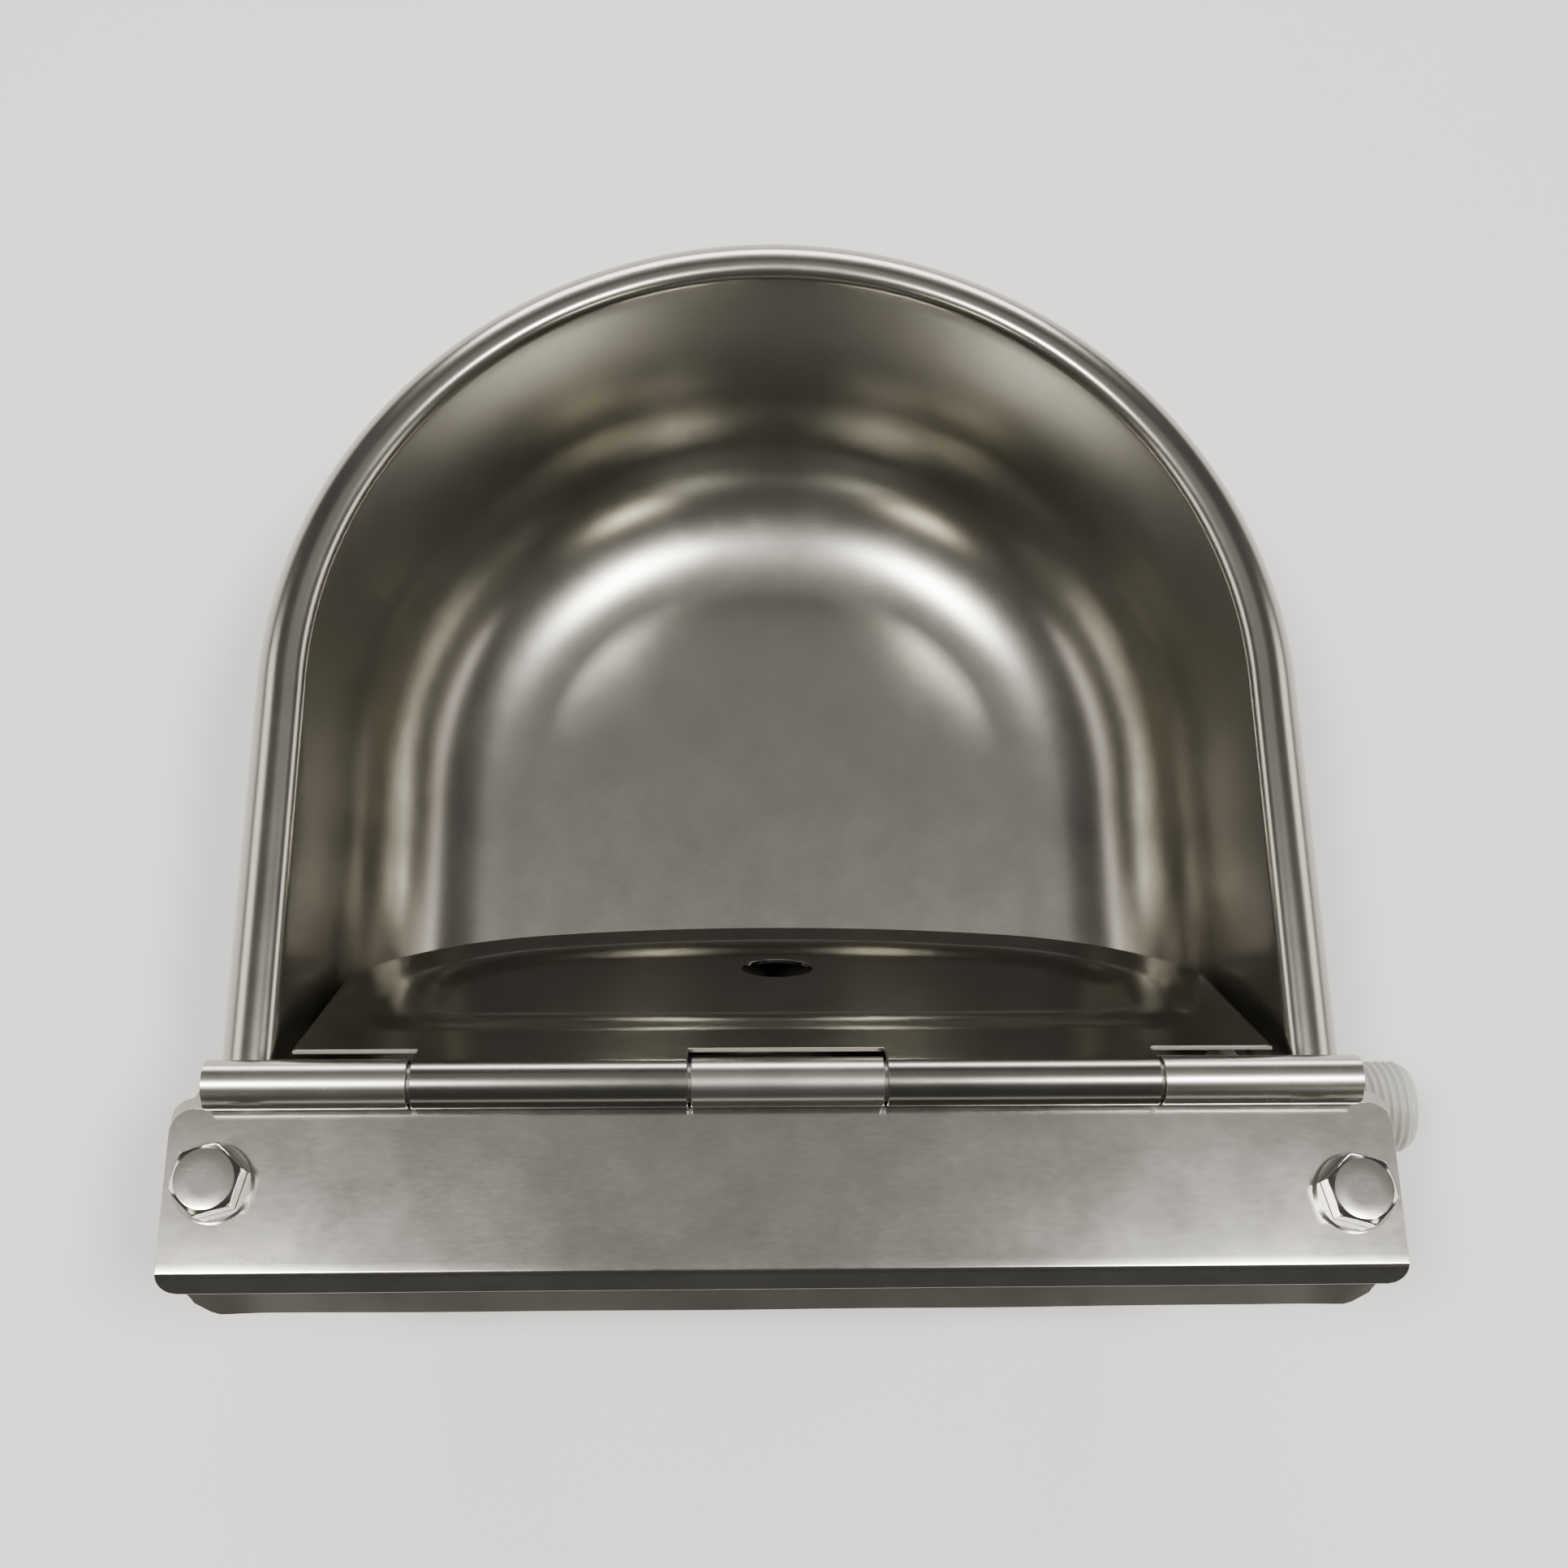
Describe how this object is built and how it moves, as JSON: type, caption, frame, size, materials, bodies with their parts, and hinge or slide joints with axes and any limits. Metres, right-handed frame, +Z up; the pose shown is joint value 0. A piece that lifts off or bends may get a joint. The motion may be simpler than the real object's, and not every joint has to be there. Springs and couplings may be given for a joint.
{
  "type": "livestock drinking bowl",
  "caption": "Round-fronted stainless drinking bowl with a bolted cover plate, hinged baffle flap and a float valve with a side inlet.",
  "frame": {"origin": "on the base plane, under the centre of the round front of the bowl", "axes": "+Z up, +Y to the round drinking side, +X to the water inlet; X runs along the flap's hinge"},
  "size_m": [0.2685, 0.2545, 0.1064],
  "materials": {
    "bowl_steel": "satin",
    "plate_steel": "satin",
    "pin_steel": "bright",
    "flap_steel": "satin",
    "fastener_steel": "bright stainless",
    "valve_plastic": "translucent off-white",
    "black_rubber": "matt",
    "seat_brass": "machined",
    "piston_plastic": "moulded white",
    "arm_brass": "machined",
    "float_foam": "closed-cell foam"
  },
  "bodies": {
    "shell": {"bowl": "bowl_steel", "cover_plate": "plate_steel", "hinge_pin": "pin_steel", "cover_bolts": "fastener_steel", "cover_washers": "fastener_steel", "lower_washers": "fastener_steel", "cover_nuts": "fastener_steel", "valve_body": "valve_plastic", "inlet_gasket": "black_rubber", "inlet_washer": "fastener_steel", "inlet_lock_nut": "valve_plastic", "valve_seat": "seat_brass", "seat_o_ring": "black_rubber", "arm_pivot_pin": "fastener_steel", "pivot_clips": "fastener_steel"},
    "flap": {"baffle_flap": "flap_steel"},
    "float": {"float_arm": "arm_brass", "float_body": "float_foam", "float_washers": "fastener_steel", "float_nuts": "arm_brass"},
    "piston": {"valve_piston": "piston_plastic", "piston_seal": "black_rubber"}
  },
  "joints": [
    {"name": "flap_hinge", "type": "hinge", "parent": "shell", "child": "flap", "pos_m": [0, -0.0923, 0.1014], "axis": [1, 0, 0], "range_deg": [0, 215]},
    {"name": "float_lever", "type": "hinge", "parent": "shell", "child": "float", "pos_m": [0.059, -0.09, 0.045], "axis": [0, 1, 0], "range_deg": [0, 20]},
    {"name": "piston_slide", "type": "slide", "parent": "shell", "child": "piston", "axis": [1, 0, 0], "range_m": [0, 0.0035]}
  ],
  "couplings": [
    {"joint": "piston_slide", "follows": "float_lever", "m_per_rad": 0.01}
  ]
}
